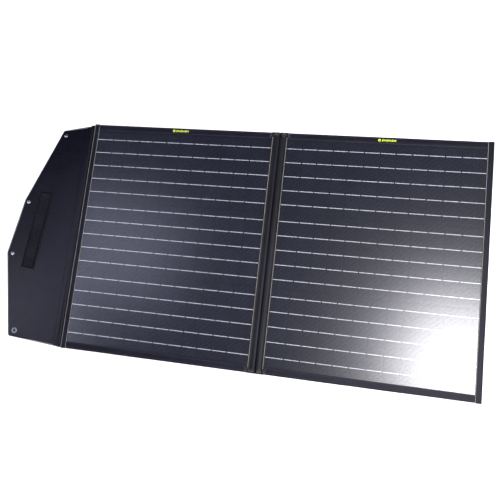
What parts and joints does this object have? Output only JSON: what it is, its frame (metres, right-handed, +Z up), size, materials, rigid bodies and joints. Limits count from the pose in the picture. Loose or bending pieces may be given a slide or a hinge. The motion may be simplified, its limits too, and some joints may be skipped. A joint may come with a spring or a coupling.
{
  "type": "folding solar suitcase",
  "caption": "Fabric-bound folding solar suitcase lying open: framed panels of cut cells on a centre fold, with a closing flap with metal fittings, rear kickstands and junction boxes.",
  "frame": {"origin": "on the floor, under the middle of the opened kit's bounding box", "axes": "+X along the opened kit towards the right panel, +Y towards the top edge that carries the labels, +Z up off the floor"},
  "size_m": [1.0629, 0.5224, 0.0113],
  "materials": {
    "nylon_fabric": "black nylon pack cloth with a faint navy cast",
    "coated_fabric": "smooth coated polyester, semi-gloss",
    "webbing": "ribbed black webbing",
    "hook_tape": "matte black hook tape",
    "loop_tape": "matte black loop pile",
    "zip_tape": "black zip tape and coil",
    "padding_foam": "closed-cell foam",
    "stiffener_sheet": "thin polypropylene sheet",
    "backing_board": "twin-wall polypropylene board",
    "backsheet": "black laminate",
    "solar_cell": "dark blue-black monocrystalline cell under film",
    "tab_ribbon": "tinned copper ribbon",
    "front_film": "clear textured fluoropolymer film",
    "box_plastic": "moulded black plastic",
    "screw_steel": "zinc-plated screw",
    "copper": "tinned copper tab",
    "diode_body": "moulded diode",
    "lead_rubber": "black cable jacket",
    "nickel": "nickel-plated eyelet and stud",
    "zip_metal": "gunmetal zip slider",
    "label": "printed woven label"
  },
  "bodies": {
    "left_panel": {"carry_handle": "webbing", "fold_fabric": "nylon_fabric", "lead_gland": "lead_rubber", "lead_pocket": "nylon_fabric", "left_backing_board": "backing_board", "left_backsheet": "backsheet", "left_bottom_binding": "nylon_fabric", "left_bypass_diode": "diode_body", "left_cells": "solar_cell", "left_fold_welt": "nylon_fabric", "left_front_film": "front_film", "left_junction_box": "box_plastic", "left_junction_lid": "box_plastic", "left_kickstand_strap": "webbing", "left_kickstand_tape": "webbing", "left_label": "label", "left_lid_screws": "screw_steel", "left_rear_cover": "nylon_fabric", "left_ribbons": "tab_ribbon", "left_rim_padding": "padding_foam", "left_side_binding": "nylon_fabric", "left_terminals": "copper", "left_top_binding": "nylon_fabric", "link_lead": "lead_rubber", "pocket_zip": "zip_tape"},
    "right_panel": {"loop_pad": "nylon_fabric", "loop_strip": "loop_tape", "right_backing_board": "backing_board", "right_backsheet": "backsheet", "right_bottom_binding": "nylon_fabric", "right_bypass_diode": "diode_body", "right_cells": "solar_cell", "right_fold_welt": "nylon_fabric", "right_front_film": "front_film", "right_junction_box": "box_plastic", "right_junction_lid": "box_plastic", "right_kickstand_strap": "webbing", "right_kickstand_tape": "webbing", "right_label": "label", "right_lid_screws": "screw_steel", "right_rear_cover": "nylon_fabric", "right_ribbons": "tab_ribbon", "right_rim_padding": "padding_foam", "right_side_binding": "nylon_fabric", "right_terminals": "copper", "right_top_binding": "nylon_fabric"},
    "left_kickstand": {"left_kickstand_board": "nylon_fabric"},
    "right_kickstand": {"right_kickstand_board": "nylon_fabric"},
    "flap_spine": {"spine_outer_skin": "coated_fabric", "spine_inner_skin": "coated_fabric"},
    "flap": {"flap_outer_skin": "coated_fabric", "flap_stiffener": "stiffener_sheet", "flap_inner_skin": "coated_fabric", "eyelet": "nickel", "eyelet_washer": "nickel", "studs": "nickel", "stud_backs": "nickel", "hook_strip": "hook_tape"},
    "zip_pull": {"zip_slider": "zip_metal"}
  },
  "joints": [
    {"name": "panel_fold", "type": "hinge", "parent": "left_panel", "child": "right_panel", "pos_m": [0.0885, 0, 0.0115], "axis": [0, -1, 0], "range_deg": [0, 180], "deforming": ["fold_fabric", "link_lead"]},
    {"name": "spine_wrap", "type": "hinge", "parent": "left_panel", "child": "flap_spine", "pos_m": [-0.3548, 0, 0.0014], "axis": [0, 1, 0], "range_deg": [0, 90]},
    {"name": "flap_close", "type": "hinge", "parent": "flap_spine", "child": "flap", "pos_m": [-0.3774, 0, 0.0014], "axis": [0, 1, 0], "range_deg": [0, 90]},
    {"name": "left_kickstand_swing", "type": "hinge", "parent": "left_panel", "child": "left_kickstand", "pos_m": [-0.0765, 0.105, 0.0047], "axis": [1, 0, 0], "range_deg": [0, 55], "deforming": ["left_kickstand_strap"]},
    {"name": "right_kickstand_swing", "type": "hinge", "parent": "right_panel", "child": "right_kickstand", "pos_m": [0.2535, 0.105, 0.0047], "axis": [1, 0, 0], "range_deg": [0, 55], "deforming": ["right_kickstand_strap"]},
    {"name": "zip_slide", "type": "slide", "parent": "left_panel", "child": "zip_pull", "axis": [-1, 0, 0], "range_m": [0, 0.09]}
  ]
}
